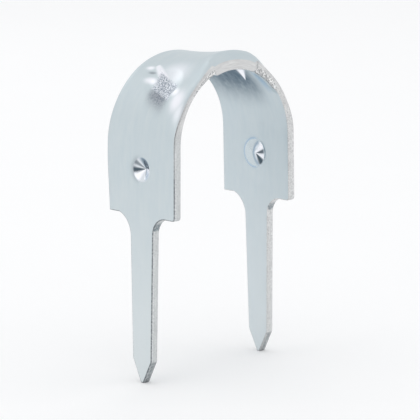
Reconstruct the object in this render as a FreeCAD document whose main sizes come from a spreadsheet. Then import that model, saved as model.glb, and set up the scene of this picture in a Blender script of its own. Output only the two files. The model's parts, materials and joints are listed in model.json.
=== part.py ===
import FreeCAD, Part
import math
import os

import Sketcher

# Conduit clip: one strip of zinc-plated steel bent over a round conduit, with two
# pointed prongs that are driven into the wall. The origin is on the conduit's axis at
# the middle of the strip. Y runs along the conduit, X from leg to leg, Z off the wall.

NODE = "conduit_clip"

doc = FreeCAD.newDocument("conduit_clip")
sheet = doc.addObject("Spreadsheet::Sheet", "sizes")

SIZES = [
    # the strip and its bend
    ("conduit_radius", 8.0),
    ("sheet_thickness", 0.95),
    ("band_width", 10.4),
    ("leg_splay", 0.93),
    # the shoulders that stop on the wall and the prongs below them
    ("shoulder_drop", 7.5),
    ("corner_radius", 0.4),
    ("root_radius", 1.9),
    ("prong_length", 18.35),
    ("prong_root_width", 3.7),
    ("prong_end_width", 3.0),
    ("point_length", 2.55),
    ("tip_width", 0.4),
    # the dimple pressed into each leg and the bump it raises inside
    ("dimple_drop", 2.55),
    ("dimple_mouth", 2.5),
    ("dimple_floor", 0.2),
    ("dimple_depth", 0.7),
    ("bump_base", 3.3),
    ("bump_top", 0.3),
    ("bump_height", 0.48),
    # the crown, pressed up between the legs, with its edges curled down
    ("crown_front_rise", 0.92),
    ("crown_middle_rise", 0.44),
    ("crown_back_rise", 0.34),
    ("crown_edge_rise", 0.06),
    ("crown_curl", 1.0),
    ("crown_top_edge_angle", 20.0),
    ("crown_top_middle_angle", 25.0),
    ("crown_toe_edge_angle", 28.0),
    ("crown_toe_middle_angle", 45.0),
    ("hollow_inset_angle", 3.0),
    # the mark that the pressing tool leaves at each toe of the crown
    ("mark_depth", 0.42),
    ("mark_ball_radius", 6.0),
    ("mark_offset", 0.8),
]

for row, (alias, value) in enumerate(SIZES, start=1):
    sheet.set(f"A{row}", alias)
    sheet.set(f"B{row}", str(value))
    sheet.setAlias(f"B{row}", alias)
doc.recompute()


def size(alias):
    """The number that the sheet holds for one size."""
    return float(sheet.get(alias))


def named(text):
    """An expression in which every size is looked up in the sheet."""
    for alias, _ in sorted(SIZES, key=lambda item: -len(item[0])):
        text = text.replace("$" + alias, "sizes." + alias)
    return text


body = doc.addObject("PartDesign::Body", "strip")


def origin_plane(role):
    return next(plane for plane in body.Origin.OriginFeatures if plane.Role == role)


def new_sketch(name, role):
    sketch = body.newObject("Sketcher::SketchObject", name)
    sketch.AttachmentSupport = [(origin_plane(role), "")]
    sketch.MapMode = "FlatFace"
    return sketch


def bind(sketch, name, constraint, expression):
    """Add one named constraint and tie its value to the sheet."""
    index = sketch.addConstraint(constraint)
    sketch.renameConstraint(index, name)
    sketch.setExpression("Constraints." + name, named(expression))


def fix_point(sketch, name, geometry, end, across, along):
    """Hold one end of a line at a place given by two expressions, each with its sign."""
    for kind, axis, (sign, expression) in (("DistanceX", "x", across), ("DistanceY", "y", along)):
        first, second = ((-1, 1), (geometry, end)) if sign > 0 else ((geometry, end), (-1, 1))
        constraint = Sketcher.Constraint(kind, *first, *second, 1.0)
        bind(sketch, f"{name}_{axis}", constraint, expression)


def vector(x, y):
    return FreeCAD.Vector(x, y, 0)


def leg_place(radius, drop):
    """How far out one face of a leg stands at a depth below the conduit's axis."""
    return f"({radius} / cos($leg_splay * 1 deg) + ({drop}) * tan($leg_splay * 1 deg))"


INNER_RADIUS = "$conduit_radius"
OUTER_RADIUS = "($conduit_radius + $sheet_thickness)"
TIP_DROP = "$shoulder_drop + $prong_length"


# The bent strip, drawn from the side: two arcs on the conduit's axis and two legs that
# run tangent from them down to the prongs' tips.

def strip_profile():
    sketch = new_sketch("strip_profile", "XZ_Plane")
    splay = math.radians(size("leg_splay"))
    depth = size("shoulder_drop") + size("prong_length")
    inner = size("conduit_radius")
    outer = inner + size("sheet_thickness")
    ends = {}
    for face, radius, radius_text in (("inner", inner, INNER_RADIUS), ("outer", outer, OUTER_RADIUS)):
        circle = Part.Circle(vector(0, 0), FreeCAD.Vector(0, 0, 1), radius)
        arc = sketch.addGeometry(Part.ArcOfCircle(circle, -splay, math.pi + splay))
        sketch.addConstraint(Sketcher.Constraint("Coincident", arc, 3, -1, 1))
        bind(sketch, face + "_radius", Sketcher.Constraint("Radius", arc, radius), radius_text)
        reach = radius / math.cos(splay) + depth * math.tan(splay)
        for side, label, arc_end in ((1, "right", 1), (-1, "left", 2)):
            top = vector(side * radius * math.cos(splay), -radius * math.sin(splay))
            foot = vector(side * reach, -depth)
            leg = sketch.addGeometry(Part.LineSegment(top, foot))
            sketch.addConstraint(Sketcher.Constraint("Tangent", leg, 1, arc, arc_end))
            foot_text = leg_place(radius_text, TIP_DROP)
            fix_point(sketch, f"{label}_{face}_foot", leg, 2, (side, foot_text), (-1, TIP_DROP))
            ends[label, face] = leg
    for label in ("right", "left"):
        inner_leg = ends[label, "inner"]
        outer_leg = ends[label, "outer"]
        start = sketch.Geometry[inner_leg].EndPoint
        end = sketch.Geometry[outer_leg].EndPoint
        foot = sketch.addGeometry(Part.LineSegment(start, end))
        sketch.addConstraint(Sketcher.Constraint("Coincident", foot, 1, inner_leg, 2))
        sketch.addConstraint(Sketcher.Constraint("Coincident", foot, 2, outer_leg, 2))
    return sketch


profile = strip_profile()
strip = body.newObject("PartDesign::Pad", "bent_strip")
strip.Profile = profile
strip.Midplane = True
strip.setExpression("Length", named("$band_width"))
doc.recompute()


# The prongs: what is cut away beside each of them, from the shoulders down.

def prong_outline():
    sketch = new_sketch("beside_prongs", "YZ_Plane")
    corners = [
        ("$band_width", "$shoulder_drop"),
        ("$prong_root_width / 2", "$shoulder_drop"),
        ("$prong_end_width / 2", f"{TIP_DROP} - $point_length"),
        ("$tip_width / 2", TIP_DROP),
        ("$tip_width / 2", f"{TIP_DROP} + $band_width"),
        ("$band_width", f"{TIP_DROP} + $band_width"),
    ]
    depth = size("shoulder_drop") + size("prong_length")
    far = size("band_width")
    places = [
        (far, size("shoulder_drop")),
        (size("prong_root_width") / 2, size("shoulder_drop")),
        (size("prong_end_width") / 2, depth - size("point_length")),
        (size("tip_width") / 2, depth),
        (size("tip_width") / 2, depth + far),
        (far, depth + far),
    ]
    for side, label in ((1, "far"), (-1, "near")):
        lines = []
        for here, there in zip(places, places[1:] + places[:1]):
            start = vector(side * here[0], -here[1])
            end = vector(side * there[0], -there[1])
            lines.append(sketch.addGeometry(Part.LineSegment(start, end)))
        for number, line in enumerate(lines):
            following = lines[(number + 1) % len(lines)]
            sketch.addConstraint(Sketcher.Constraint("Coincident", line, 2, following, 1))
            across, down = corners[number]
            fix_point(sketch, f"{label}_{number}", line, 1, (side, across), (-1, down))
    return sketch


cut_sketch = prong_outline()
prongs = body.newObject("PartDesign::Pocket", "prongs")
prongs.Profile = cut_sketch
prongs.Midplane = True
prongs.Type = "ThroughAll"
doc.recompute()


def edges_across(shape, half_width):
    """The edges that run from face to face of the sheet at one height and half width."""
    found = []
    for number, edge in enumerate(shape.Edges, start=1):
        middle = edge.CenterOfMass
        if abs(edge.tangentAt(edge.FirstParameter).x) < 0.9:
            continue
        if abs(abs(middle.y) - half_width) < 1e-4 and abs(middle.z + size("shoulder_drop")) < 1e-4:
            found.append(f"Edge{number}")
    return found


roots = body.newObject("PartDesign::Fillet", "prong_roots")
roots.Base = (prongs, edges_across(prongs.Shape, size("prong_root_width") / 2))
roots.setExpression("Radius", named("$root_radius"))
doc.recompute()

corners = body.newObject("PartDesign::Fillet", "shoulder_corners")
corners.Base = (roots, edges_across(roots.Shape, size("band_width") / 2))
corners.setExpression("Radius", named("$corner_radius"))
doc.recompute()


# A round press mark in the right leg, turned about an axis square to the leg.

def turned_profile(name, stations):
    """A half profile beside its axis: each station is a place along X and a radius there."""
    sketch = new_sketch(name, "XZ_Plane")
    outline = [(stations[0][0], "0")] + stations + [(stations[-1][0], "0")]
    reach = size("conduit_radius") + size("sheet_thickness")
    guess = [vector(reach - number, -size("dimple_drop") + (0 < number < 3)) for number in range(4)]
    lines = []
    for start, end in zip(guess, guess[1:] + guess[:1]):
        lines.append(sketch.addGeometry(Part.LineSegment(start, end)))
    for number, line in enumerate(lines):
        following = lines[(number + 1) % len(lines)]
        sketch.addConstraint(Sketcher.Constraint("Coincident", line, 2, following, 1))
        x, radius = outline[number]
        fix_point(sketch, f"point_{number}", line, 1, (1, x), (-1, f"$dimple_drop - ({radius})"))
    return sketch


INNER_FACE = leg_place(INNER_RADIUS, "$dimple_drop")
OUTER_FACE = leg_place(OUTER_RADIUS, "$dimple_drop")

# the bump starts half way through the sheet, and the dimple runs on past the outer face
BUMP_FLARE = "($bump_base - $bump_top) / 2 / $bump_height"
DIMPLE_FLARE = "($dimple_mouth - $dimple_floor) / 2 / $dimple_depth"
bump_profile = turned_profile("bump_profile", [
    (f"{INNER_FACE} + $sheet_thickness / 2", f"$bump_base / 2 + $sheet_thickness / 2 * {BUMP_FLARE}"),
    (f"{INNER_FACE} - $bump_height", "$bump_top / 2"),
])
bump = body.newObject("PartDesign::Revolution", "bump")
bump.Profile = bump_profile
bump.ReferenceAxis = (bump_profile, ["Edge4"])
bump.Angle = 360
doc.recompute()

dimple_profile = turned_profile("dimple_profile", [
    (f"{OUTER_FACE} + $sheet_thickness", f"$dimple_mouth / 2 + $sheet_thickness * {DIMPLE_FLARE}"),
    (f"{OUTER_FACE} - $dimple_depth", "$dimple_floor / 2"),
])
dimple = body.newObject("PartDesign::Groove", "dimple")
dimple.Profile = dimple_profile
dimple.ReferenceAxis = (dimple_profile, ["Edge4"])
dimple.Angle = 360
doc.recompute()

both_legs = body.newObject("PartDesign::Mirrored", "both_legs")
both_legs.Originals = [bump, dimple]
both_legs.MirrorPlane = (origin_plane("YZ_Plane"), [""])
body.Tip = both_legs
doc.recompute()


# The crown: a saddle-backed rise across the bend, highest near the front edge, that
# curls down to both edges and runs out at a toe on each side of the bend.

# the shares of its rise that are left half way along its top, at its end and half way to its toe
TOP_SHARE = 0.98
TOP_END_SHARE = 0.9
FLANK_SHARE = 0.5
# how far a section runs on into the sheet, as a share of the way from its top to its toe
RUN_ON_SHARE = 0.5
# the hollow curls in more tightly than the crown, and its ends stay within the sheet
HOLLOW_CURL_SHARE = 0.6
HOLLOW_END_SHARE = 0.3


def crown_rise(y, half_width, curl, edge_rise):
    """How far the crown stands off the plain bend along its middle line."""
    front, middle, back = (size(f"crown_{part}_rise") for part in ("front", "middle", "back"))
    share = y / (size("band_width") / 2 - size("crown_curl"))
    saddle = middle + (back - front) / 2 * share + ((front + back) / 2 - middle) * share ** 2
    past = max(0.0, abs(y) - (half_width - curl)) / curl
    return edge_rise + (saddle - edge_rise) * (1.0 - past ** 2)


def crown_angles(share):
    """Half way along the top, its end, half way to the toe, the toe and the run-on, in degrees."""
    top, toe = (
        size(f"crown_{part}_edge_angle")
        + (size(f"crown_{part}_middle_angle") - size(f"crown_{part}_edge_angle")) * share
        for part in ("top", "toe")
    )
    return [top / 2, top, (top + toe) / 2, toe, toe + RUN_ON_SHARE * (toe - top)]


def both_sides(half, middle, sign=-1):
    """A list that runs out from the middle, mirrored to the other side of it."""
    return [sign * value for value in reversed(half)] + [middle] + half


def crown_section(y, base, half_width, curl, edge_rise, inset, root):
    """One closed outline across the crown, square to the conduit."""
    rise = crown_rise(y, half_width, curl, edge_rise)
    above = max(0.0, rise)
    below = min(0.0, rise)
    shares = (TOP_SHARE, TOP_END_SHARE, FLANK_SHARE, 0.0)
    lifts = both_sides([share * above + below for share in shares] + [-root], rise, sign=1)
    middle_share = (1.0 - (y / half_width) ** 2) ** 2
    angles = both_sides([angle - inset for angle in crown_angles(middle_share)], 0.0)
    points = []
    for angle, lift in zip(angles, lifts):
        turn = math.radians(angle)
        points.append(FreeCAD.Vector((base + lift) * math.sin(turn), y, (base + lift) * math.cos(turn)))
    curve = Part.BSplineCurve()
    curve.interpolate(Points=points, Parameters=both_sides(crown_angles(1.0), 0.0))
    floor = Part.Arc(points[-1], FreeCAD.Vector(0, y, base - root), points[0])
    return Part.Wire([curve.toShape(), floor.toShape()])


def crown_loft(base, half_width, curl, edge_rise, inset, root):
    flat = half_width - curl
    places = both_sides([flat / 2, flat - curl / 2, flat, half_width - curl / 2, half_width], 0.0)
    sections = []
    for y in places:
        sections.append(crown_section(y, base, half_width, curl, edge_rise, inset, root))
    return Part.makeLoft(sections, True, False)


inner_radius = size("conduit_radius")
thickness = size("sheet_thickness")
half_band = size("band_width") / 2

crown = doc.addObject("Part::Feature", "crown")
crown.Shape = crown_loft(inner_radius + thickness, half_band, size("crown_curl"),
                         size("crown_edge_rise"), 0.0, thickness / 2)

# the same form under the sheet, which leaves a lip as wide as the sheet along both edges
hollow = doc.addObject("Part::Feature", "hollow")
hollow.Shape = crown_loft(inner_radius, half_band - thickness, HOLLOW_CURL_SHARE * size("crown_curl"),
                          -HOLLOW_END_SHARE * thickness, size("hollow_inset_angle"), thickness / 2)

raised = doc.addObject("Part::Fuse", "raised")
raised.Base = body
raised.Tool = crown

sunk = doc.addObject("Part::Cut", "sunk")
sunk.Base = raised
sunk.Tool = hollow

# the press marks, each part of a ball, a little in front of the middle of the strip
marks = []
for side, label in ((-1, "left"), (1, "right")):
    mark = doc.addObject("Part::Sphere", label + "_mark")
    mark.setExpression("Radius", named("$mark_ball_radius * 1 mm"))
    out = named(f"({OUTER_RADIUS} - $mark_depth + $mark_ball_radius)")
    turn = named("$crown_toe_middle_angle * 1 deg")
    mark.setExpression("Placement.Base.x", f"{side} * {out} * sin({turn}) * 1 mm")
    mark.setExpression("Placement.Base.y", named("-$mark_offset * 1 mm"))
    mark.setExpression("Placement.Base.z", f"{out} * cos({turn}) * 1 mm")
    marks.append(mark)

both_marks = doc.addObject("Part::MultiFuse", "marks")
both_marks.Shapes = marks

clip = doc.addObject("Part::Cut", NODE)
clip.Label = NODE
clip.Base = sunk
clip.Tool = both_marks
doc.recompute()


def check(items):
    """Stop before anything is written if a feature failed or a shape isn't sound."""
    for item in items:
        if "Invalid" in item.State or "Error" in item.State:
            raise RuntimeError(f"{item.Name} is {item.State}")
        shape = getattr(item, "Shape", None)
        if shape is not None and (shape.isNull() or not shape.isValid()):
            raise RuntimeError(f"{item.Name} has no sound shape")


check(item for item in doc.Objects if not item.isDerivedFrom("App::OriginFeature"))
if len(clip.Shape.Solids) != 1:
    raise RuntimeError(f"{NODE} has {len(clip.Shape.Solids)} solids")

for step in (strip, prongs, roots, corners, bump, dimple, both_legs, crown, hollow, raised, sunk, clip):
    print(f"{step.Name:18s} volume {step.Shape.Volume:9.3f} mm3  faces {len(step.Shape.Faces)}")
box = clip.Shape.optimalBoundingBox(False)
for axis in "XYZ":
    print(f"{axis} from {getattr(box, axis + 'Min'):.3f} to {getattr(box, axis + 'Max'):.3f} mm")

os.makedirs("parts", exist_ok=True)
clip.Shape.exportStep(f"parts/{NODE}.step")
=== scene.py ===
import json
import math

import bpy
import numpy as np
from mathutils import Matrix, Vector, noise
from mathutils.geometry import delaunay_2d_cdt


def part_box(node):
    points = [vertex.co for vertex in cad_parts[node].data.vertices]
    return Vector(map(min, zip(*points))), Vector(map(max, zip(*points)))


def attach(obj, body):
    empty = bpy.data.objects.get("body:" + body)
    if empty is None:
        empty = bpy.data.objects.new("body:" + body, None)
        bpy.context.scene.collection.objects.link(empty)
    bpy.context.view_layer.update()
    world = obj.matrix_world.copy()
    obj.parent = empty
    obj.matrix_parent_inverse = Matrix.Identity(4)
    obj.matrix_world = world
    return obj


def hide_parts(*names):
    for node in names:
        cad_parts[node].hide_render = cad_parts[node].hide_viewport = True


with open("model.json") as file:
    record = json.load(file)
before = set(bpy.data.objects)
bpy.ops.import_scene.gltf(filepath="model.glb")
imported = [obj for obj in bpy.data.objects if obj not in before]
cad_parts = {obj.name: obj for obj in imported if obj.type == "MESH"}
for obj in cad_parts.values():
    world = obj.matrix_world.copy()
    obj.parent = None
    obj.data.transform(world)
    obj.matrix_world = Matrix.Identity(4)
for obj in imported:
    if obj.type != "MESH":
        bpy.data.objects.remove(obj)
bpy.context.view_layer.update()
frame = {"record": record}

# Conduit clip: a strip of zinc-plated steel, modelled flat and then bent. On the flat strip
# s runs along its middle line from the crown, y across it towards the back edge, and t through
# the sheet, outwards. Sizes are in millimetres until the mesh is made. An ANGLE is in degrees
# round the bend from its top, and a FADE gives where a smooth fade starts and how wide it is.

NODE = "conduit_clip"
MM = 0.001

# Sizes that the frame gives
mounts = {mount["name"]: mount for mount in frame["record"]["mounts"]}
node_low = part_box(NODE)[0]
SEAT_RADIUS = mounts["conduit_seat"]["dims"]["r_mm"]
BAND_WIDTH = mounts["conduit_seat"]["dims"]["length_mm"]
SHOULDER_DROP = -mounts["left_shoulder"]["pos_m"][2] / MM
TIP_DROP = -node_low.z / MM

# The sheet, its bend and its outline, which differs a little between the front and back edges
SHEET = 0.95
LEG_SPLAY = math.radians(0.93)
CORNER_RADIUS = {"front": 0.4, "back": 0.12}
ROOT_RADIUS = {"front": 1.9, "back": 2.6}
ROOT_START = {"front": 0.0, "back": math.radians(18.0)}
PRONG_ROOT_WIDTH = 3.7
PRONG_END_WIDTH = 3.0
POINT_LENGTH = 2.55
TIP_WIDTH = 0.4
EDGE_ROUND = 0.13
BOW_HEIGHT = 0.3
BOW_PLACE = -14.6
BOW_REACH = 4.5

# The crown and the hollow under it. The fall's ends are shares of the way from top to toe.
CROWN_RISE = {"front": 0.79, "middle": 0.34, "back": 0.32}
CROWN_CURL = 1.0
CROWN_EDGE_RISE = 0.06
CROWN_TOP_ANGLES = (20.0, 25.0)
CROWN_TOE_ANGLES = {"front": 32.0, "middle": 45.0, "back": 56.0}
CROWN_FALL_ENDS = (-0.45, 1.3)
HOLLOW_INSET_ANGLE = 3.0
HOLLOW_CURL = 0.6
HOLLOW_END = -0.3 * SHEET
HOLLOW_SOFTNESS = 0.03

# The front edge: drooped and nicked on both flanks, sunk and hanging as a lip at the crown, and
# torn on the right flank. On a flank, something fades in over two angles and out over two more.
DROOP_DEPTH = 0.36
DROOP_WIDTH = 1.7
DROOP_ANGLES = (20.0, 44.0, 60.0, 84.0)
DROOP_RIGHT_SHARE = 0.5
NICK_DEPTH = 0.18
NICK_WIDTH = 0.45
NICK_ANGLES = (19.0, 22.0, 60.0, 84.0)
LIP_ANGLES = (19.5, 22.0)
LIP_SINK = 0.52
LIP_SINK_WIDTH = 0.9
LIP_DROP = 0.28
LIP_DROP_WIDTH = 0.5
TORN_ANGLES = (20.0, 23.0, 44.0, 56.0)

# The mark of the press on each flank, with its grainy patch, the zone below it that is painted dark as
# shade, scraped tail and wrinkles
MARK_ANGLE = 45.0
MARK_PLACE = -0.8
MARK_DEPTH = 0.42
MARK_BALL = 6.0
MARK_SOFTNESS = 0.12
PATCH_CENTRE = (6.81, -0.89)
PATCH_HALF = (1.06, 1.75)
PATCH_SHEAR = 0.36
PATCH_SINK = 0.04
PATCH_SINK_FADE = (0.8, 0.3)
GRAIN_HEIGHT = 0.03
GRAIN_SIZE = 0.12
GRAIN_FADE = (0.8, 0.35)
GRAIN_LEAST = 0.01
BELOW_PATCH_FADE = (0.7, 0.4)
BELOW_PATCH_FULL_TO = 1.15
BELOW_PATCH_FALL = 1.1
BELOW_PATCH_MIDDLE = 0.05
BELOW_PATCH_HALF = 0.85
BELOW_PATCH_GRAIN = 0.5
TAIL_START = (5.85, -0.2)
TAIL_END = (4.45, 2.0)
TAIL_WIDTH = 0.52
TAIL_TAPER = (1.2, 0.6)
TAIL_FADE = (0.4, 0.9)
TAIL_GRAIN = 0.12
WRINKLE_PLACE = (5.45, 2.2)
WRINKLE_REACH = (1.2, 0.9)
WRINKLE_PITCH = 1.75
WRINKLE_HEIGHT = 0.06

# The dimple in each leg, and the bump that it raises inside
DIMPLE_DROP = 2.55
DIMPLE_RADIUS = 1.19
DIMPLE_DEPTH = 0.7
DIMPLE_SOFTNESS = 0.08
DIMPLE_SAG = 0.05
DIMPLE_SAG_REACH = 0.35
BUMP_RADIUS = 1.65
BUMP_STEP = 0.05
BUMP_STEP_WIDTH = 0.16
BUMP_CONE_RADIUS = 1.45
BUMP_HEIGHT = 0.38
BUMP_SOFTNESS = 0.1
BUMP_POINT = 0.42
BUMP_FLARE = 0.75
BUMP_FLARE_RADIUS = 1.2
BUMP_FLARE_SQUASH = 1.8
CONE_POINT_ROUND = 0.06
FACET_COUNT = 5
FACET_RELIEF = 0.014

# The punch's facets by their look, as painted shade, painted highlight and painted blue reflection: clock
# angle from the front edge, half width, strength
DIMPLE_DARK = ((185.0, 17.0, 1.0), (140.0, 14.0, 0.7), (62.0, 40.0, 0.72))
DIMPLE_BRIGHT = ((-132.0, 28.0, 0.85),)
DIMPLE_BLUE = ((-40.0, 24.0, 0.5), (60.0, 42.0, 0.9))
BUMP_DARK = ((15.0, 17.0, 0.9), (-56.0, 24.0, 1.0))
BUMP_BRIGHT = ((48.0, 17.0, 1.0), (-18.0, 15.0, 1.0))

# Looks round the dimple and the bump: a crescent and ring line of painted shade and blue on the bump, and
# a halo of painted shade round the dimple
RIM_WIDTH = 0.2
CRESCENT_WIDTH = 0.3
CRESCENT_FADE = (-0.9, 0.4)
RING_WIDTH = 0.1
RING_LINE_WIDTH = 0.13
RING_LINE_FADE = (-0.6, 0.8)
RING_LINE_STRENGTHS = (0.2, 1.0)
HALO_GAP = 0.1
HALO_WIDTH = 0.3
HALO_FADE = (0.0, 1.2)

# Painted highlights about the press's mark, and painted shade in a crease: place along and across,
# reach along and across, strength
HIGHLIGHT_SPOTS = (
    (5.0, -1.25, 1.25, 2.0, 0.55),
    (7.4, -3.2, 0.5, 0.55, 1.0),
    (8.3, -3.95, 1.2, 0.75, 1.0),
    (9.4, -4.7, 1.1, 0.5, 0.6),
    (4.75, 2.9, 0.25, 0.6, 1.0),
    (6.35, 1.4, 0.38, 1.0, 1.0),
)
CREASE_SHADE_SPOTS = ((5.35, 2.1, 0.15, 0.6, 0.6),)
SPOT_CRISPNESS = 1.35

# Looks of the hollow: painted shade in it, a painted blue reflection along its front and a painted
# highlight wedge
RECESS_ANGLE_FADE = (38.0, 37.0)
RECESS_FRONT_FADE = (-3.75, 2.3)
RECESS_BACK_FADE = (2.2, 2.6)
RECESS_BACK_LOSS = 0.4
BORDER_ANGLES = (16.0, 24.0, 40.0, 60.0)
BORDER_FRONT_FADE = (-4.7, 0.5)
BORDER_BACK_FADE = (-3.9, 1.0)
WEDGE_ENDS = (4.1, 6.3)
WEDGE_MIDDLES = (-1.8, -1.15)
WEDGE_HALF = 0.72
WEDGE_BLUNT = 0.02
WEDGE_TOP_FADE = (3.1, 0.8)
WEDGE_SIDE_FADE = (0.45, 0.95)

# Looks of the cut edge. A height is a share of the sheet, outwards from its middle.
EDGE_START_ANGLE = 30.0
BURR_HEIGHT_FADE = (-0.36, 0.1)
TORN_HEIGHT_FADE = (0.05, 0.2)
# The fold and the kink are painted dark as shade, and the sparkle is a painted glint
FOLD_HEIGHT_FADE = (-0.44, 0.06)
KINK_WIDTH = 0.7
SPARKLE_ANGLE = 47.0
SPARKLE_ANGLE_WIDTH = 1.6
SPARKLE_HEIGHT = -0.2
SPARKLE_HEIGHT_WIDTH = 0.2
PALE_ANGLE_FADE = (70.0, 15.0)
# The arris is painted dark as shade, and the glint beside it is a painted highlight
ARRIS_BOTTOM = SHEET / 2 - EDGE_ROUND
ARRIS_FADE = (ARRIS_BOTTOM, 0.5 * EDGE_ROUND)
ARRIS_ANGLE_FADE = (62.0, 16.0)
ARRIS_STRENGTHS = (0.15, 0.5)
ARRIS_LEG_FADE = (1.5, 2.5)
GLINT_GAP = 0.06
GLINT_WIDTH = 0.07
# The prongs' roots and points are painted dark as shade
ROOT_TOP_FADE = (0.3, 0.6)
ROOT_END_FADE = (1.4, 0.8)
PRONG_GAP = 0.02
POINT_FADE_WIDTH = 0.2
CORE_WIDTH = 0.28 * SHEET
CORE_STRENGTHS = (0.55, 1.0)

# How strongly the lesser looks show
STRENGTH = {
    "inner_tint": 0.06,
    "border_tint": 0.85,
    "ring_smooth": 0.6,
    "ring_line_tint": 0.85,
    "crescent_dark": 0.3,
    "crescent_tint": 0.7,
    "halo": 0.3,
    "burr": 0.2,
    "gritty_left": 0.15,
    "gritty_right": 0.3,
    "kink": 0.55,
    "fold": 0.8,
    "sparkle": 2.0,
    "glint": 0.7,
    "painted_light_right": 0.8,
}
MASKS = (
    "tip", "struck", "smooth", "shaded_facet", "shaded_hollow", "blue_tone_sheen", "shade_marks", "highlights", "grain",
    "cut", "lip", "glint", "arris", "fracture", "root", "point",
)

# Spacings of the mesh
OUTLINE_STEP = 0.13
ZONE_STEPS = {"plain": 0.22, "crown": 0.12, "mark": 0.07}
CROWN_REACH_ANGLE = 65.0
MARK_REACH = 2.4
RING_STEP = 0.06
RING_LEAST_POINTS = 8
RING_GAP = 0.05
DIMPLE_MARGIN = 0.35
BUMP_MARGIN = 0.2
EDGE_GAP_STEPS = 0.6
CORNER_POINTS = 8
ROOT_POINTS = 26
WALL_LAYERS = 8
ROUND_STEPS = 5
FACE_TOLERANCE = 1e-6
FILL_TOLERANCE = 1e-7
FILL_INSIDE = 1

HALF_BAND = BAND_WIDTH / 2
MIDDLE_RADIUS = SEAT_RADIUS + SHEET / 2
BEND_TURN = math.pi / 2 - LEG_SPLAY
BEND_LENGTH = MIDDLE_RADIUS * BEND_TURN


def place_on_leg(drop):
    """Where along the flat strip a depth below the conduit's axis lies."""
    return BEND_LENGTH + (drop + MIDDLE_RADIUS * math.cos(BEND_TURN)) / math.sin(BEND_TURN)


SHOULDER = place_on_leg(SHOULDER_DROP)
TIP = place_on_leg(TIP_DROP)
DIMPLE = place_on_leg(DIMPLE_DROP)
MARK = math.radians(MARK_ANGLE) * MIDDLE_RADIUS
CROWN_REACH = math.radians(CROWN_REACH_ANGLE) * MIDDLE_RADIUS


# Shares, fades and soft limits

def between(ends, share):
    """The value that lies a share of the way from one end to the other."""
    return ends[0] + (ends[1] - ends[0]) * share


def share_of(ends, x):
    """The share of the way from one end to the other at which a value lies, from 0 to 1."""
    return np.clip((x - ends[0]) / (ends[1] - ends[0]), 0.0, 1.0)


def smooth_step(x):
    x = np.clip(x, 0.0, 1.0)
    return x * x * (3.0 - 2.0 * x)


def fade_in(x, fade):
    """0 up to the fade's start, then smoothly up to 1 over its width."""
    start, width = fade
    return smooth_step((x - start) / width)


def fade_out(x, fade):
    return 1.0 - fade_in(x, fade)


def hump(x, middle, width):
    """1 at the middle, and almost nothing two widths away from it."""
    return np.exp(-((x - middle) / width) ** 2)


def soft_max(a, b, softness):
    return 0.5 * (a + b + np.sqrt((a - b) ** 2 + softness ** 2))


def soft_min(a, b, softness):
    return -soft_max(-a, -b, softness)


# The flat strip and its bend

def bend(s, y, t):
    """Points of the flat strip, bent over the conduit."""
    turn = np.clip(s / MIDDLE_RADIUS, -BEND_TURN, BEND_TURN)
    run = np.maximum(np.abs(s) - BEND_LENGTH, 0.0)
    radius = MIDDLE_RADIUS + t
    x = radius * np.sin(turn) + np.sign(s) * run * np.cos(turn)
    z = radius * np.cos(turn) - run * np.sin(np.abs(turn))
    return np.stack([x, y, z], axis=-1)


def arc_points(centre, radius, start, end, count):
    """Points on an arc, without its last one."""
    turns = np.linspace(math.radians(start), math.radians(end), count, endpoint=False)
    return [(centre[0] + radius * math.cos(turn), centre[1] + radius * math.sin(turn)) for turn in turns]


def line_points(start, end):
    """Points along a line, without its last one."""
    count = max(1, round(math.dist(start, end) / OUTLINE_STEP))
    shares = np.arange(count) / count
    return [tuple(between(ends, share) for ends in zip(start, end)) for share in shares]


def quarter_outline(edge):
    """A quarter of the strip's outline, from the crown's middle to the middle of a tip."""
    corner_radius, radius, start = CORNER_RADIUS[edge], ROOT_RADIUS[edge], ROOT_START[edge]
    taper = (PRONG_END_WIDTH - PRONG_ROOT_WIDTH) / 2 / (TIP - POINT_LENGTH - SHOULDER)
    stretch = math.hypot(1.0, taper)
    below = radius * math.cos(start)
    centre = (SHOULDER + below, PRONG_ROOT_WIDTH / 2 + below * taper + radius * stretch)
    root = (SHOULDER, centre[1] - radius * math.sin(start))
    foot = (centre[0] + radius * taper / stretch, centre[1] - radius / stretch)
    corner = (SHOULDER - corner_radius, HALF_BAND - corner_radius)
    point = (TIP - POINT_LENGTH, PRONG_END_WIDTH / 2)
    first = 180 + math.degrees(start)
    last = 270 + math.degrees(math.atan(taper))
    return (
        line_points((0.0, HALF_BAND), (corner[0], HALF_BAND))
        + arc_points(corner, corner_radius, 90, 0, CORNER_POINTS)
        + line_points((SHOULDER, corner[1]), root)
        + arc_points(centre, radius, first, last, ROOT_POINTS)
        + line_points(foot, point)
        + line_points(point, (TIP, TIP_WIDTH / 2))
        + line_points((TIP, TIP_WIDTH / 2), (TIP, 0.0))
    )


def whole_outline(front, back):
    """The closed outline, anticlockwise seen from outside, from a quarter at each edge."""
    right = back + [(TIP, 0.0)] + [(s, -y) for s, y in reversed(front)]
    left = [(-s, y) for s, y in reversed(right[1:-1])]
    clockwise = right + left
    return np.array(clockwise[::-1])


def inward(outline):
    """The direction at each point of the outline that moves both its sides in by one unit."""
    along = np.roll(outline, -1, axis=0) - outline
    along /= np.linalg.norm(along, axis=1)[:, None]
    normal = np.stack([-along[:, 1], along[:, 0]], axis=1)
    total = normal + np.roll(normal, 1, axis=0)
    return 2.0 * total / (total ** 2).sum(axis=1)[:, None]


# Places on the strip

def strip_angle(s):
    """Degrees round the bend from its top, to either side."""
    return np.degrees(np.abs(s) / MIDDLE_RADIUS)


def on_flank(s, angles):
    """1 on both flanks of the bend, 0 at the crown and on the legs."""
    angle = strip_angle(s)
    return smooth_step(share_of(angles[:2], angle)) * (1.0 - smooth_step(share_of(angles[2:], angle)))


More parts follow.
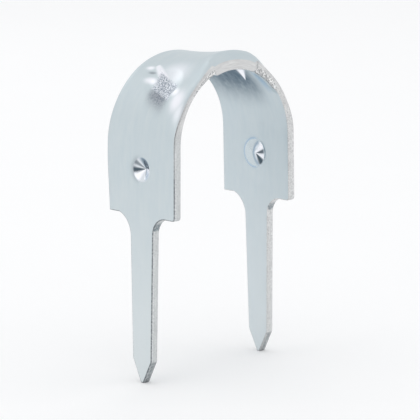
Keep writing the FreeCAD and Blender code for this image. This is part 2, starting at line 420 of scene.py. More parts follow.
def on_lip(s):
    """1 along the lip at the front of the crown, 0 past the kink at each of its ends."""
    return 1.0 - smooth_step(share_of(LIP_ANGLES, strip_angle(s)))


def near_front(y, width):
    """1 at the front edge, in a curve down to 0 at a width from it."""
    return np.clip(1.0 - (y + HALF_BAND) / width, 0.0, 1.0) ** 2


def from_dimple(s, y):
    return np.hypot(np.abs(s) - DIMPLE, y)


def clock_angle(s, y):
    """Degrees about the dimple's middle, from the front edge towards the crown."""
    return np.degrees(np.arctan2(DIMPLE - np.abs(s), -y))


def patch_place(s, y):
    """A place on the slanted grainy patch in the mark: along and across, each -1 to 1 inside it."""
    across = y - PATCH_CENTRE[1]
    along = np.abs(s) - PATCH_CENTRE[0] + PATCH_SHEAR * across
    return along / PATCH_HALF[0], across / PATCH_HALF[1]


def patch_edge(s, y):
    along, across = patch_place(s, y)
    return np.maximum(np.abs(along), np.abs(across))


def below_patch(s, y):
    """The zone below the patch, painted dark as shade, with some of the patch's grain."""
    along, across = patch_place(s, y)
    below = np.exp(-np.maximum(along - BELOW_PATCH_FULL_TO, 0.0) ** 2 * BELOW_PATCH_FALL)
    beside = np.exp(-((across - BELOW_PATCH_MIDDLE) / BELOW_PATCH_HALF) ** 4)
    return fade_in(along, BELOW_PATCH_FADE) * below * beside


def patch_tail(s, y):
    """The short scrape that runs up from the patch: grainy, and painted bright as a highlight."""
    start, end = np.array(TAIL_START), np.array(TAIL_END)
    reach = end - start
    place = np.stack([np.abs(s), y], axis=-1) - start
    share = np.clip(place @ reach / (reach @ reach), 0.0, 1.0)
    away = np.linalg.norm(place - share[:, None] * reach, axis=1)
    return fade_out(away / (TAIL_WIDTH * between(TAIL_TAPER, share)), TAIL_FADE)


def patch_grain(s, y):
    """Where the press left its grain: 1 in the patch, less in its tail and in the zone below it."""
    patch = fade_out(patch_edge(s, y), GRAIN_FADE)
    return np.maximum.reduce([patch, TAIL_GRAIN * patch_tail(s, y), BELOW_PATCH_GRAIN * below_patch(s, y)])


# The pressed forms, each as a lift off the plain bent sheet

def crown_lift(s, y, half_width, curl, edge_rise, inset_angle):
    """The crown's saddle-backed rise, curled down at both edges and run out at its toes."""
    front, middle, back = (CROWN_RISE[part] for part in ("front", "middle", "back"))
    share = y / (HALF_BAND - CROWN_CURL)
    saddle = middle + (back - front) / 2 * share + ((front + back) / 2 - middle) * share ** 2
    past = np.maximum(0.0, np.abs(y) - (half_width - curl)) / curl
    rise = between((edge_rise, saddle), 1.0 - past ** 2)
    inner = np.clip(1.0 - (y / half_width) ** 2, 0.0, 1.0) ** 2
    top = between(CROWN_TOP_ANGLES, inner) - inset_angle
    toe_front, toe_middle, toe_back = (CROWN_TOE_ANGLES[part] for part in ("front", "middle", "back"))
    toe_edge = (toe_front + toe_back) / 2 + (toe_back - toe_front) / 2 * y / HALF_BAND
    toe = between((toe_edge, toe_middle), inner) - inset_angle
    fallen = share_of(CROWN_FALL_ENDS, (strip_angle(s) - top) / (toe - top))
    fall = 0.5 + 0.5 * np.cos(np.pi * fallen)
    return np.maximum(rise, 0.0) * fall + np.minimum(rise, 0.0)


def mark_lift(s, y):
    """The bottom of the ball that leaves the mark, measured from the plain outer face."""
    along = (np.abs(s) - MARK) / MIDDLE_RADIUS
    reach = SEAT_RADIUS + SHEET - MARK_DEPTH + MARK_BALL
    chord = MARK_BALL ** 2 - (reach * np.sin(along)) ** 2 - (y - MARK_PLACE) ** 2
    depth = reach * np.cos(along) - np.sqrt(np.maximum(chord, 0.0)) - SEAT_RADIUS - SHEET
    return np.where((chord > 0.0) & (np.abs(along) < 1.0), depth, MARK_BALL)


def grain_lift(s, y):
    """The patch's grain, with finer grain on it that is half as high."""
    grain = patch_grain(s, y)
    lift = np.zeros(len(s))
    for number in np.flatnonzero(grain > GRAIN_LEAST):
        place = Vector((s[number] / GRAIN_SIZE, y[number] / GRAIN_SIZE, 0.0))
        lift[number] = noise.noise(place) + 0.5 * noise.noise(2.0 * place)
    return GRAIN_HEIGHT * grain * lift


def wrinkle_lift(s, y):
    """Shallow waves in the sheet beside the mark."""
    along = (np.abs(s) - WRINKLE_PLACE[0]) / WRINKLE_REACH[0]
    across = (y - WRINKLE_PLACE[1]) / WRINKLE_REACH[1]
    wave = np.cos(2.0 * np.pi * (np.abs(s) - WRINKLE_PLACE[0]) / WRINKLE_PITCH)
    return -WRINKLE_HEIGHT * wave * np.exp(-along ** 2 - across ** 2)


def edge_droop(s, y):
    """How far the crown's pressing has pulled down the front edge."""
    droop = DROOP_DEPTH * on_flank(s, DROOP_ANGLES) * near_front(y, DROOP_WIDTH)
    nick = NICK_DEPTH * on_flank(s, NICK_ANGLES) * near_front(y, NICK_WIDTH)
    lip = LIP_SINK * on_lip(s) * near_front(y, LIP_SINK_WIDTH)
    return (droop + nick) * np.where(s > 0.0, DROOP_RIGHT_SHARE, 1.0) + lip


def cone(away, radius, height, softness):
    """A round cone by distance from its middle, with its point and its foot a little rounded."""
    return soft_max(height * (1.0 - np.hypot(away, CONE_POINT_ROUND) / radius), 0.0, softness)


def facet_relief(s, y, radius):
    """The flats of the punch: shallow waves round the dimple, none at its middle and rim."""
    share = np.clip(from_dimple(s, y) / radius, 0.0, 1.0)
    wave = np.cos(FACET_COUNT * np.radians(clock_angle(s, y)))
    return FACET_RELIEF * 4.0 * share * (1.0 - share) * wave


def leg_bow(s, y):
    """How far the back edge of the left leg bows outwards under the bend."""
    return BOW_HEIGHT * hump(s, BOW_PLACE, BOW_REACH) * smooth_step(y / HALF_BAND)


def outer_lift(s, y):
    """All that the press did to the outer face."""
    crown = crown_lift(s, y, HALF_BAND, CROWN_CURL, CROWN_EDGE_RISE, 0.0)
    dented = soft_min(crown, mark_lift(s, y), MARK_SOFTNESS) - edge_droop(s, y)
    sunk = PATCH_SINK * fade_out(patch_edge(s, y), PATCH_SINK_FADE)
    away = from_dimple(s, y)
    sag = DIMPLE_SAG * np.exp(-np.maximum(away - DIMPLE_RADIUS, 0.0) / DIMPLE_SAG_REACH)
    punched = cone(away, DIMPLE_RADIUS, DIMPLE_DEPTH, DIMPLE_SOFTNESS)
    dimple = punched + facet_relief(s, y, DIMPLE_RADIUS) + sag
    return dented + wrinkle_lift(s, y) - sunk + grain_lift(s, y) - dimple


def inner_lift(s, y):
    """All that the press did to the inner face."""
    half_width = HALF_BAND - SHEET
    hollow = crown_lift(s, y, half_width, HOLLOW_CURL, HOLLOW_END, HOLLOW_INSET_ANGLE)
    hollow = np.where(np.abs(y) < half_width, hollow, HOLLOW_END)
    away = from_dimple(s, y)
    ring = BUMP_STEP * (1.0 - smooth_step((away - BUMP_RADIUS) / BUMP_STEP_WIDTH + 0.5))
    raised = cone(away, BUMP_CONE_RADIUS, BUMP_HEIGHT - BUMP_STEP, BUMP_SOFTNESS)
    peak = raised + facet_relief(s, y, BUMP_CONE_RADIUS)
    hanging = np.maximum(on_lip(s), on_flank(s, TORN_ANGLES) * (s > 0.0))
    lip = LIP_DROP * hanging * fade_in(-y, (half_width, LIP_DROP_WIDTH))
    return soft_max(hollow, 0.0, HOLLOW_SOFTNESS) - ring - peak - lip


# The mesh: both faces are filled with triangles and joined by the cut edge

def hex_grid(step):
    """Points all over the strip's flat box, in rows that are offset by half a step."""
    rows = np.arange(-HALF_BAND, HALF_BAND, step * math.sqrt(0.75))
    columns = np.arange(-TIP, TIP, step)
    s, y = np.meshgrid(columns, rows)
    s = s + (np.arange(len(rows)) % 2)[:, None] * step / 2
    return np.stack([s.ravel(), y.ravel()], axis=1)


def inside(points, quarter, margin):
    """The points that lie in the outline by at least a margin."""
    half_s, half_y = np.array(quarter + [(TIP, 0.0)]).T
    s, y = np.abs(points).T
    widths = [np.interp(s + shift, half_s, half_y, right=0.0) for shift in (-margin, 0.0, margin)]
    return points[(y < np.min(widths, axis=0) - margin) & (s < TIP - margin)]


def zone_points(zone, quarter, ring_radius):
    """The grid points of a face's plain zone, crown or marks, clear of the rings about its dimples."""
    step = ZONE_STEPS[zone]
    points = inside(hex_grid(step), quarter, EDGE_ROUND + EDGE_GAP_STEPS * step)
    s, y = np.abs(points[:, 0]), points[:, 1]
    on_crown = s < CROWN_REACH
    in_mark = np.hypot(s - MARK, y - MARK_PLACE) < MARK_REACH
    in_rings = from_dimple(s, y) < ring_radius + RING_GAP
    in_zone = {"plain": ~on_crown & ~in_mark, "crown": on_crown & ~in_mark, "mark": in_mark}
    return points[in_zone[zone] & ~in_rings]


def ring_points(radius):
    """Points on rings about the dimple of each leg."""
    points = []
    for side in (-1, 1):
        points.append((side * DIMPLE, 0.0))
        for ring in np.arange(RING_STEP, radius, RING_STEP):
            count = max(RING_LEAST_POINTS, round(2 * math.pi * ring / RING_STEP))
            offset = 0.5 * (round(ring / RING_STEP) % 2)
            turns = 2 * math.pi * (np.arange(count) + offset) / count
            points.extend((side * DIMPLE + ring * math.cos(turn), ring * math.sin(turn)) for turn in turns)
    return np.array(points)


def face_points(quarter, ring_radius):
    """The points that fill one face, closer together where it is pressed."""
    zones = [zone_points(zone, quarter, ring_radius) for zone in ZONE_STEPS]
    return np.vstack([*zones, ring_points(ring_radius)])


def fill(loop, points):
    """Triangles inside a closed loop, through the given points."""
    count = len(loop)
    corners = [Vector(point) for point in np.vstack([loop, points])]
    sides = [(number, (number + 1) % count) for number in range(count)]
    found, _, faces, sources, _, _ = delaunay_2d_cdt(corners, sides, [], FILL_INSIDE, FILL_TOLERANCE)
    return np.array([tuple(point) for point in found]), faces, sources


def edge_levels():
    """The layers of the cut edge from the inner face to the outer one: each one's inset and its t."""
    turns = np.linspace(0.0, math.pi / 2, ROUND_STEPS + 1)
    insets = [EDGE_ROUND * (1 - math.cos(turn)) for turn in turns]
    heights = [SHEET / 2 - EDGE_ROUND * (1 - math.sin(turn)) for turn in turns]
    outer = list(zip(insets, heights))
    inner = [(inset, -t) for inset, t in reversed(outer)]
    wall = [(0.0, t) for t in np.linspace(-heights[0], heights[0], WALL_LAYERS + 1)[1:-1]]
    return inner + wall + outer


def edge_faces(count, level_count):
    """The faces between the layers of the cut edge, each of which has the same count of points."""
    faces = []
    for level in range(level_count - 1):
        low, high = level * count, (level + 1) * count
        for number in range(count):
            following = (number + 1) % count
            faces.append((low + number, low + following, high + following, high + number))
    return faces


def filled_face(loop, points, side, loop_start, extra_start):
    """One face's own points, and its triangles by the numbers that the whole mesh gives their corners."""
    found, triangles, sources = fill(loop, points)
    number_of = {}
    extra = []
    for number, source in enumerate(sources):
        on_loop = [origin for origin in source if origin < len(loop)]
        if on_loop:
            number_of[number] = loop_start + on_loop[0]
        else:
            number_of[number] = extra_start + len(extra)
            extra.append((*found[number], side * SHEET / 2))
    faces = []
    for triangle in triangles:
        corners = [number_of[corner] for corner in triangle]
        faces.append(tuple(corners[::side]))
    return np.array(extra), faces


def strip_mesh():
    """The whole strip as flat points (s, y, t) and faces."""
    front, back = quarter_outline("front"), quarter_outline("back")
    outline = whole_outline(front, back)
    normal = inward(outline)
    count = len(outline)
    levels = edge_levels()
    flat = []
    for inset, t in levels:
        ring = outline + normal * inset
        flat.append(np.column_stack([ring, np.full(count, t)]))
    faces = edge_faces(count, len(levels))

    total = count * len(levels)
    inner_face = (-1, 0, BUMP_RADIUS + BUMP_MARGIN)
    outer_face = (1, len(levels) - 1, DIMPLE_RADIUS + DIMPLE_MARGIN)
    for side, level, ring_radius in (inner_face, outer_face):
        loop = flat[level][:, :2]
        points = face_points(front, ring_radius)
        extra, triangles = filled_face(loop, points, side, level * count, total)
        flat.append(extra)
        faces.extend(triangles)
        total += len(extra)
    return np.vstack(flat), faces


# Masks: where each look of the surface shows, from 0 to 1

def facet_shade(s, y, facets):
    turn = clock_angle(s, y)
    shade = np.zeros(len(s))
    for middle, half_width, strength in facets:
        away = np.abs((turn - middle + 180.0) % 360.0 - 180.0)
        shade = np.maximum(shade, strength * np.exp(-(away / half_width) ** 4))
    return shade


def spots(s, y, places):
    shade = np.zeros(len(s))
    for along, across, reach_along, reach_across, strength in places:
        away = ((np.abs(s) - along) / reach_along) ** 2 + ((y - across) / reach_across) ** 2
        shade = np.maximum(shade, strength * np.exp(-away ** SPOT_CRISPNESS))
    return shade


def highlight_wedge(s, y):
    """A painted highlight in the hollow: a bright wedge, wide at the top and pointed below."""
    share = share_of(WEDGE_ENDS, np.abs(s))
    half = WEDGE_HALF * (1.0 + WEDGE_BLUNT - share)
    away = np.abs(y - between(WEDGE_MIDDLES, share)) / half
    return fade_in(np.abs(s), WEDGE_TOP_FADE) * fade_out(away, WEDGE_SIDE_FADE) * (share < 1.0)


def punch_masks(s, y, outer, inner):
    """The dimple, the bump that it raises inside, and what shows round both, with painted shade and
    highlights on their facets and painted shade and blue round them.
    """
    away = from_dimple(s, y)
    flare = np.hypot(np.abs(s) - DIMPLE, BUMP_FLARE_SQUASH * (y + BUMP_FLARE))
    dimple = outer * fade_out(away, (DIMPLE_RADIUS, RIM_WIDTH))
    peak = inner * fade_out(flare, (BUMP_FLARE_RADIUS, RIM_WIDTH))
    # Painted shade and blue on the bump's crescent and along its ring line
    crescent = inner * hump(flare, BUMP_FLARE_RADIUS, CRESCENT_WIDTH) * fade_in(y, CRESCENT_FADE)
    ring = inner * fade_out(away, (BUMP_RADIUS, RING_WIDTH))
    ring_line = inner * hump(away, BUMP_RADIUS, RING_LINE_WIDTH)
    ring_line = ring_line * between(RING_LINE_STRENGTHS, fade_in(y, RING_LINE_FADE))
    # Painted shade: a dark halo round the dimple
    halo = outer * hump(away, DIMPLE_RADIUS + HALO_GAP, HALO_WIDTH) * fade_in(y, HALO_FADE)
    from_point = y + BUMP_POINT
    # Painted shade and highlights on the facets of the dimple and the bump
    dark = dimple * facet_shade(s, y, DIMPLE_DARK) + peak * facet_shade(s, from_point, BUMP_DARK)
    bright = dimple * facet_shade(s, y, DIMPLE_BRIGHT) + peak * facet_shade(s, from_point, BUMP_BRIGHT)
    # Painted blue reflection on the dimple's facets
    blue = dimple * facet_shade(s, y, DIMPLE_BLUE)
    ring_tint = STRENGTH["ring_line_tint"] * ring_line
    struck = np.maximum(dimple, peak)
    return {
        "struck": struck,
        "smooth": np.maximum(struck, STRENGTH["ring_smooth"] * ring),
        "shaded_facet": np.maximum(dark, STRENGTH["crescent_dark"] * crescent),
        "blue_tone_sheen": np.maximum.reduce([ring_tint, STRENGTH["crescent_tint"] * crescent, blue]),
        "shade_marks": STRENGTH["halo"] * halo,
        "highlights": bright,
    }


def mark_masks(s, y, outer):
    """The press's mark on the outer face: its grain, painted shade below it and in a crease, and painted
    highlights about it and on its tail.
    """
    return {
        # Painted shade below the patch and in a crease
        "shade_marks": outer * np.maximum(below_patch(s, y), spots(s, y, CREASE_SHADE_SPOTS)),
        # Painted highlights about the mark and on its tail
        "highlights": outer * np.maximum(spots(s, y, HIGHLIGHT_SPOTS), patch_tail(s, y)),
        "grain": outer * patch_grain(s, y),
    }


def hollow_masks(s, y, inner):
    """The inner face: painted shade in the hollow under the crown, a faint blue tone all over, a painted
    blue reflection along the hollow's front and a painted highlight wedge.
    """
    under_crown = fade_out(strip_angle(s), RECESS_ANGLE_FADE)
    across = fade_in(y, RECESS_FRONT_FADE) * (1.0 - RECESS_BACK_LOSS * fade_in(y, RECESS_BACK_FADE))
    border = fade_in(y, BORDER_FRONT_FADE) * fade_out(y, BORDER_BACK_FADE) * on_flank(s, BORDER_ANGLES)
    return {
        # Painted shade in the hollow under the crown, less towards the back, and mottled
        "shaded_hollow": inner * under_crown * across,
        # A faint blue tone all over the inner face, and a painted blue reflection along the hollow's front
        "blue_tone_sheen": inner * np.maximum(STRENGTH["inner_tint"], STRENGTH["border_tint"] * border),
        # Painted highlight: the bright wedge in the hollow
        "highlights": inner * highlight_wedge(s, y),
    }


def broken_masks(s, y, t, cut):
    """The cut edge where the sheet broke: gritty past the crown, torn, folded and kinked at the front,
    with painted shade at the kink and fold and a painted glint where it sparkles.
    """
    angle = strip_angle(s)
    height = t / SHEET
    front = y < 0.0
    right_front = front & (s > 0.0)
    flank = on_flank(s, TORN_ANGLES)
    burr = STRENGTH["burr"] * fade_out(height, BURR_HEIGHT_FADE)
    torn = flank * fade_out(height, TORN_HEIGHT_FADE) * front
    gritty = np.where(s > 0.0, STRENGTH["gritty_right"], STRENGTH["gritty_left"])
    gritty = gritty * (angle > EDGE_START_ANGLE)
    # Painted shade at the kink and along the fold, and a painted glint where the torn edge sparkles
    kink = STRENGTH["kink"] * hump(angle, LIP_ANGLES[1], KINK_WIDTH) * right_front
    fold = STRENGTH["fold"] * flank * fade_out(height, FOLD_HEIGHT_FADE) * right_front
    sparkle = hump(angle, SPARKLE_ANGLE, SPARKLE_ANGLE_WIDTH) * right_front
    sparkle = sparkle * hump(height, SPARKLE_HEIGHT, SPARKLE_HEIGHT_WIDTH)
    return {
        "fracture": cut * np.maximum.reduce([burr, torn, gritty]) * (1.0 - sparkle) * (1.0 - fold),
        "glint": cut * STRENGTH["sparkle"] * sparkle,
        "arris": cut * np.maximum(kink, fold),
    }


def sheared_masks(s, y, t, cut):
    """The cut edge where it is sheared: pale at the crown and painted light along the right side, with
    painted shade on the arris, at the roots and on the points, and a painted glint beside the arris.
    """
    angle = strip_angle(s)
    on_leg = np.abs(s) - BEND_LENGTH
    on_prong = np.abs(s) - SHOULDER
    # Pale cut at the crown and flanks, and painted light along the whole right side's cut
    pale = np.maximum(fade_out(angle, PALE_ANGLE_FADE), STRENGTH["painted_light_right"] * (s > 0.0))
    # Painted shade along the arris
    arris = fade_in(t, ARRIS_FADE) * (angle > EDGE_START_ANGLE)
    arris = arris * between(ARRIS_STRENGTHS, fade_in(angle, ARRIS_ANGLE_FADE))
    arris = arris * (1.0 + fade_in(on_leg, ARRIS_LEG_FADE))
    glint = hump(t, ARRIS_BOTTOM - GLINT_GAP, GLINT_WIDTH) * (on_leg > 0.0)
    root = fade_in(on_prong, ROOT_TOP_FADE) * fade_out(on_prong, ROOT_END_FADE)
    beside_prong = np.abs(y) > PRONG_ROOT_WIDTH / 2 + PRONG_GAP
    core = between(CORE_STRENGTHS, hump(t, 0.0, CORE_WIDTH))
    return {
        "lip": cut * pale,
        "arris": cut * arris,
        "glint": cut * STRENGTH["glint"] * glint,
        # Painted shade at the prongs' roots, and on their points, where it is darkest in the middle of the
        # sheet
        "root": cut * root * beside_prong,
        "point": cut * core * fade_in(np.abs(s), (TIP - POINT_LENGTH, POINT_FADE_WIDTH)),
    }


def surface_masks(s, y, t):
    """All the masks by name, each the strongest of what gives it."""
    outer = t > SHEET / 2 - FACE_TOLERANCE
    inner = t < -SHEET / 2 + FACE_TOLERANCE
    cut = ~(outer | inner)
    # Painted light: the plate lighter from the bend towards the prongs' tips
    towards_tip = fade_in(np.abs(s), (BEND_LENGTH, TIP - BEND_LENGTH))
    masks = {name: np.zeros(len(s)) for name in MASKS}
    for found in (
        {"cut": cut, "tip": ~cut * towards_tip},
        punch_masks(s, y, outer, inner),
        mark_masks(s, y, outer),
        hollow_masks(s, y, inner),
        broken_masks(s, y, t, cut),
        sheared_masks(s, y, t, cut),
    ):
        for name, values in found.items():
            masks[name] = np.maximum(masks[name], values)
    return masks


def add_values(mesh, name, kind, values):
    attribute = mesh.attributes.new(name, kind, "POINT")
    field = "vector" if kind == "FLOAT_VECTOR" else "value"
    attribute.data.foreach_set(field, np.asarray(values, np.float32).ravel())


def make_clip():
    """The bent strip, with its masks and its flat places for the material to read."""
    flat, faces = strip_mesh()
    s, y, t = flat.T.copy()
    share = np.clip(t / SHEET + 0.5, 0.0, 1.0)
    lifted = t + leg_bow(s, y) + share * outer_lift(s, y) + (1.0 - share) * inner_lift(s, y)
    mesh = bpy.data.meshes.new("clip_strip")
    mesh.from_pydata((bend(s, y, lifted) * MM).tolist(), [], faces)
    mesh.validate()
    mesh.shade_smooth()
    for name, values in surface_masks(s, y, t).items():
        add_values(mesh, name, "FLOAT", values)
    add_values(mesh, "strip", "FLOAT_VECTOR", flat)

    clip = bpy.data.objects.new("clip_strip", mesh)
    bpy.context.scene.collection.objects.link(clip)
    clip.data.materials.append(zinc_material())
    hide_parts(NODE)
    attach(clip, "root")
    return clip


# Colours of the plate by its looks, of the cut edge, and of the paper floor. Many looks are painted light
# and shade.

ZINC = (0.615, 0.677, 0.70, 1.0)
ZINC_CLOUD = (0.58, 0.652, 0.684, 1.0)
# Painted light: the plate lighter towards the prongs' tips
TIP_LIGHT = (0.70, 0.75, 0.765, 1.0)
# Painted shade in the hollow under the crown
HOLLOW_SHADE = (0.088, 0.142, 0.190, 1.0)
# A faint blue tone on the inner face, with painted blue reflection and shade round the punch and along the
# hollow's front
BLUE_TONE_AND_SHEEN = (0.36, 0.50, 0.64, 1.0)
BURNISHED = (0.76, 0.80, 0.84, 1.0)
# Painted shade on the punch's facets and the bump's crescent
PAINTED_FACET_SHADE = (0.07, 0.10, 0.125, 1.0)
# Painted highlights about the mark, on its tail, on the punch's facets and in the hollow
PAINTED_HIGHLIGHT = (0.945, 0.952, 1.0, 1.0)
# Painted shade below the mark's patch, in a crease and round the dimple
PAINTED_SHADE = (0.115, 0.135, 0.165, 1.0)
SPECK_DARK = (0.26, 0.30, 0.36, 1.0)
SPECK_LIGHT = (0.75, 0.785, 0.825, 1.0)
TORN_DARK = (0.27, 0.28, 0.29, 1.0)
TORN_LIGHT = (0.93, 0.93, 0.92, 1.0)
CUT_EDGE = (0.67, 0.695, 0.697, 1.0)
CUT_EDGE_DARK = (0.545, 0.565, 0.57, 1.0)
# The cut's pale tone at the crown and flanks, and painted light along the right side's cut
LIP_CUT = (0.75, 0.755, 0.75, 1.0)
LIP_CUT_DARK = (0.61, 0.61, 0.61, 1.0)
# Painted shade on the arris and at the kink and fold of the torn edge
ARRIS_SHADE = (0.10, 0.125, 0.145, 1.0)
GLINT = (0.90, 0.915, 0.93, 1.0)
# Painted shade at the prongs' roots and on their points
ROOT_SHADE = (0.16, 0.21, 0.24, 1.0)
POINT_SHADE = (0.17, 0.20, 0.22, 1.0)
PAPER = (0.985, 0.985, 0.985, 1.0)
PAPER_DARK = (0.97, 0.97, 0.97, 1.0)

# Patterns on the strip: how much they are squeezed along s, y and t, and where their noise is
# cut off at both ends
STREAK_SQUEEZE = (0.45, 2.0, 1.0)
CUT_LINE_SQUEEZE = (0.8, 0.8, 9.0)
MOTTLE_SQUEEZE = (1.2, 1.8, 1.0)
STREAK_RANGE = (0.3, 0.7)
SPECK_RANGE = (0.36, 0.64)
BREAK_RANGE = (0.15, 0.58)
MOTTLE_RANGE = (-0.5, 0.6)

# Roughness and relief too fine to model
PLATE_ROUGHNESS = (0.36, 0.5)
ROUGHNESS = {"cut": 0.32, "smooth": 0.12, "highlights": 0.28, "grain": 0.25}
GRIT_STRENGTH = 0.2
GRIT_DEPTH = 0.02 * MM
PAPER_ROUGHNESS = 0.9
PAPER_GLOSS = 0.1
PAPER_GLOW = 0.045


class Nodes:
    """Short calls that add linked nodes to the tree of a material or the world."""

    def __init__(self, tree):
        self.nodes = tree.nodes
        self.link = tree.links.new

    def attribute(self, name, output="Fac"):
        node = self.nodes.new("ShaderNodeAttribute")
        node.attribute_name = name
        return node.outputs[output]

    def coordinate(self, output):
        return self.nodes.new("ShaderNodeTexCoord").outputs[output]

    def squeezed(self, vector, scale):
        node = self.nodes.new("ShaderNodeVectorMath")
        node.operation = "MULTIPLY"
        node.inputs[1].default_value = scale
        self.link(vector, node.inputs[0])
        return node.outputs["Vector"]

    def noise(self, vector, scale, detail):
        node = self.nodes.new("ShaderNodeTexNoise")
        node.inputs["Scale"].default_value = scale
        node.inputs["Detail"].default_value = detail
        self.link(vector, node.inputs["Vector"])
        return node.outputs["Fac"]

    def rescaled(self, value, old=(0.0, 1.0), new=(0.0, 1.0)):
        """A value moved from an old range to a new one, and held inside it."""
        node = self.nodes.new("ShaderNodeMapRange")
        for name, limit in zip(("From Min", "From Max", "To Min", "To Max"), (*old, *new)):
            node.inputs[name].default_value = limit
        self.link(value, node.inputs["Value"])
        return node.outputs["Result"]

    def combined(self, operation, first, second):
        node = self.nodes.new("ShaderNodeMath")
        node.operation = operation
        self.link(first, node.inputs[0])
        self.link(second, node.inputs[1])
        return node.outputs["Value"]

    def mixed(self, factor, low, high, kind="RGBA"):
        """From low to high by a factor, where each is a plain value or another node's output."""
        node = self.nodes.new("ShaderNodeMix")
        node.data_type = kind
        sockets = {socket.name: socket for socket in node.inputs if socket.enabled}
        self.link(factor, sockets["Factor"])
        for name, value in (("A", low), ("B", high)):
            if isinstance(value, bpy.types.NodeSocket):
                self.link(value, sockets[name])
            else:
                sockets[name].default_value = value
        return next(socket for socket in node.outputs if socket.enabled)


def new_material(name):
    material = bpy.data.materials.new(name)
    material.use_nodes = True
    return material, Nodes(material.node_tree), material.node_tree.nodes["Principled BSDF"].inputs


def plate_colour(tree, strip, masks):
    """The plate's colour: streaked zinc, with each look laid over the ones before it; many looks are
    painted light and shade.
    """
    streaks = tree.noise(tree.squeezed(strip, STREAK_SQUEEZE), scale=1.0, detail=4.0)
    cut_lines = tree.noise(tree.squeezed(strip, CUT_LINE_SQUEEZE), scale=1.0, detail=3.0)
    mottle = tree.noise(tree.squeezed(strip, MOTTLE_SQUEEZE), scale=1.0, detail=5.0)
    lines = tree.rescaled(cut_lines, old=STREAK_RANGE)
    specks = tree.rescaled(tree.noise(strip, scale=7.0, detail=3.0), old=SPECK_RANGE)
    breaks = tree.rescaled(tree.noise(strip, scale=4.5, detail=3.0), old=BREAK_RANGE)
    uneven = {"arris": breaks, "root": breaks, "point": breaks, "glint": specks}
    uneven["shaded_hollow"] = tree.rescaled(mottle, old=MOTTLE_RANGE)
    looks = {
        "tip": TIP_LIGHT,
        "shaded_hollow": HOLLOW_SHADE,
        "struck": BURNISHED,
        "blue_tone_sheen": BLUE_TONE_AND_SHEEN,
        "shaded_facet": PAINTED_FACET_SHADE,
        "shade_marks": PAINTED_SHADE,
        "highlights": PAINTED_HIGHLIGHT,
        "grain": tree.mixed(specks, SPECK_DARK, SPECK_LIGHT),
        "cut": tree.mixed(lines, CUT_EDGE_DARK, CUT_EDGE),
        "lip": tree.mixed(lines, LIP_CUT_DARK, LIP_CUT),
        "glint": GLINT,
        "point": POINT_SHADE,
        "root": ROOT_SHADE,
        "arris": ARRIS_SHADE,
        "fracture": tree.mixed(specks, TORN_DARK, TORN_LIGHT),
    }
    colour = tree.mixed(tree.rescaled(streaks, old=STREAK_RANGE), ZINC_CLOUD, ZINC)
    for name, look in looks.items():
        mask = masks[name]
        if name in uneven:
            mask = tree.combined("MULTIPLY", mask, uneven[name])
        colour = tree.mixed(mask, colour, look)
    return colour


def zinc_material():
    """Satin zinc plate: cloudy and streaked, painted dark as shade in the hollow, and bright where it was
    struck, partly with painted highlights.
    """
    material, tree, shader = new_material("zinc_plate")
    strip = tree.attribute("strip", "Vector")
    masks = {name: tree.attribute(name) for name in MASKS}
    tree.link(plate_colour(tree, strip, masks), shader["Base Color"])
    shader["Metallic"].default_value = 1.0

    clouds = tree.noise(strip, scale=0.5, detail=4.0)
    rough = tree.rescaled(clouds, new=PLATE_ROUGHNESS)
    for name, value in ROUGHNESS.items():
        rough = tree.mixed(masks[name], rough, value, "FLOAT")
    tree.link(rough, shader["Roughness"])

    bump = tree.nodes.new("ShaderNodeBump")
    bump.inputs["Strength"].default_value = GRIT_STRENGTH
    bump.inputs["Distance"].default_value = GRIT_DEPTH
    tree.link(tree.noise(strip, scale=9.0, detail=2.0), bump.inputs["Height"])
    tree.link(bump.outputs["Normal"], shader["Normal"])
    return material


def floor_material():
    """Pale paper with a faint mottle, and a faint glow that only the camera and reflections see."""
    material, tree, shader = new_material("pale_floor")
    mottle = tree.noise(tree.coordinate("Object"), scale=40.0, detail=2.0)
    tree.link(tree.mixed(mottle, PAPER_DARK, PAPER), shader["Base Color"])
    shader["Roughness"].default_value = PAPER_ROUGHNESS
    shader["Specular IOR Level"].default_value = PAPER_GLOSS

    rays = tree.nodes.new("ShaderNodeLightPath").outputs
    seen = rays["Is Camera Ray"]
    for name in ("Is Glossy Ray", "Is Transmission Ray"):
        seen = tree.combined("MAXIMUM", seen, rays[name])
    tree.link(tree.rescaled(seen, new=(0.0, PAPER_GLOW)), shader["Emission Strength"])
    shader["Emission Color"].default_value = PAPER
    return material


# The stage, in metres: a pale floor, a tent of soft light and the camera

FLOOR_WIDTH = 8.0
TENT_BRIGHT = (0.93, 0.936, 0.946, 1.0)
TENT_DIM = (0.3, 0.3, 0.31, 1.0)
TENT_GAP = Vector((-0.75, -0.62, 0.05))
TENT_GAP_COSINES = (0.75, 0.97)
CAMERA_EYE = Vector((-0.11770, -0.12535, 0.02455))
CAMERA_RIGHT = Vector((0.7251, -0.6886, -0.0081))
CAMERA_UP = Vector((0.1342, 0.1298, 0.9824))
CAMERA_RANGE = (0.01, 20.0)
FOCAL_PIXELS = 1590.2
PICTURE_PIXELS = 420
SENSOR = 36.0

# Softboxes: direction from the clip, distance, width and height, and radiance
LAMPS = {
    "left_box": ((-0.93, 0.12, 0.33), 0.5, (0.42, 0.32), 0.25),
    "back_box": ((-0.05, 0.9, 0.4), 0.6, (0.3, 0.25), 0.4),
    "top_box": ((-0.2, 0.1, 0.95), 0.6, (0.4, 0.4), 0.25),
}


def make_floor():
    """A wide sheet of paper, on which the prongs' tips stand."""
    half = FLOOR_WIDTH / 2
    corners = [(-half, -half, 0), (half, -half, 0), (half, half, 0), (-half, half, 0)]
    mesh = bpy.data.meshes.new("floor")
    mesh.from_pydata(corners, [], [(0, 1, 2, 3)])
    mesh.materials.append(floor_material())
    floor = bpy.data.objects.new("floor", mesh)
    floor.location.z = node_low.z
    bpy.context.scene.collection.objects.link(floor)


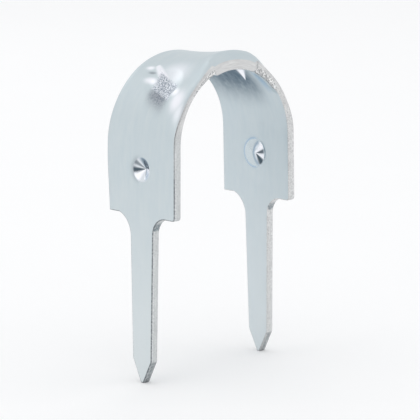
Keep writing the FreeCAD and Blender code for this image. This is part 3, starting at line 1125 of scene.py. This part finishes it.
def make_world():
    """A soft tent of light, with a dim gap at the front."""
    world = bpy.data.worlds.new("studio")
    world.use_nodes = True
    tree = Nodes(world.node_tree)
    facing = tree.nodes.new("ShaderNodeVectorMath")
    facing.operation = "DOT_PRODUCT"
    facing.inputs[1].default_value = TENT_GAP.normalized()
    tree.link(tree.coordinate("Generated"), facing.inputs[0])
    tent = tree.nodes.new("ShaderNodeValToRGB")
    tent.color_ramp.interpolation = "EASE"
    tent.color_ramp.elements[0].color = TENT_BRIGHT
    tent.color_ramp.elements[1].color = TENT_DIM
    tree.link(tree.rescaled(facing.outputs["Value"], old=TENT_GAP_COSINES), tent.inputs["Fac"])
    background = tree.nodes["Background"].inputs
    tree.link(tent.outputs["Color"], background["Color"])
    background["Strength"].default_value = 1.0
    bpy.context.scene.world = world


def make_camera():
    """A camera at the photo's angle."""
    data = bpy.data.cameras.new("camera")
    data.sensor_width = SENSOR
    data.lens = FOCAL_PIXELS * SENSOR / PICTURE_PIXELS
    data.clip_start, data.clip_end = CAMERA_RANGE
    camera = bpy.data.objects.new("camera", data)
    back = CAMERA_RIGHT.cross(CAMERA_UP)
    turn = Matrix((CAMERA_RIGHT, CAMERA_UP, back)).transposed()
    camera.matrix_world = Matrix.Translation(CAMERA_EYE) @ turn.to_4x4()
    bpy.context.scene.collection.objects.link(camera)
    bpy.context.scene.camera = camera


def make_lamp(name, direction, distance, size, radiance):
    """A softbox that faces the clip, as bright as a white surface times its radiance."""
    data = bpy.data.lights.new(name, "AREA")
    data.shape = "RECTANGLE"
    data.size, data.size_y = size
    data.energy = radiance * math.pi * size[0] * size[1]
    lamp = bpy.data.objects.new(name, data)
    lamp.location = Vector(direction).normalized() * distance
    lamp.rotation_mode = "QUATERNION"
    lamp.rotation_quaternion = (-lamp.location).to_track_quat("-Z", "Y")
    lamp.visible_camera = False
    bpy.context.scene.collection.objects.link(lamp)


clip = make_clip()
make_floor()
make_world()
make_camera()
for lamp_name, settings in LAMPS.items():
    make_lamp(lamp_name, *settings)
bpy.context.scene.view_settings.view_transform = "Standard"

print("clip triangles", sum(len(face.vertices) - 2 for face in clip.data.polygons))
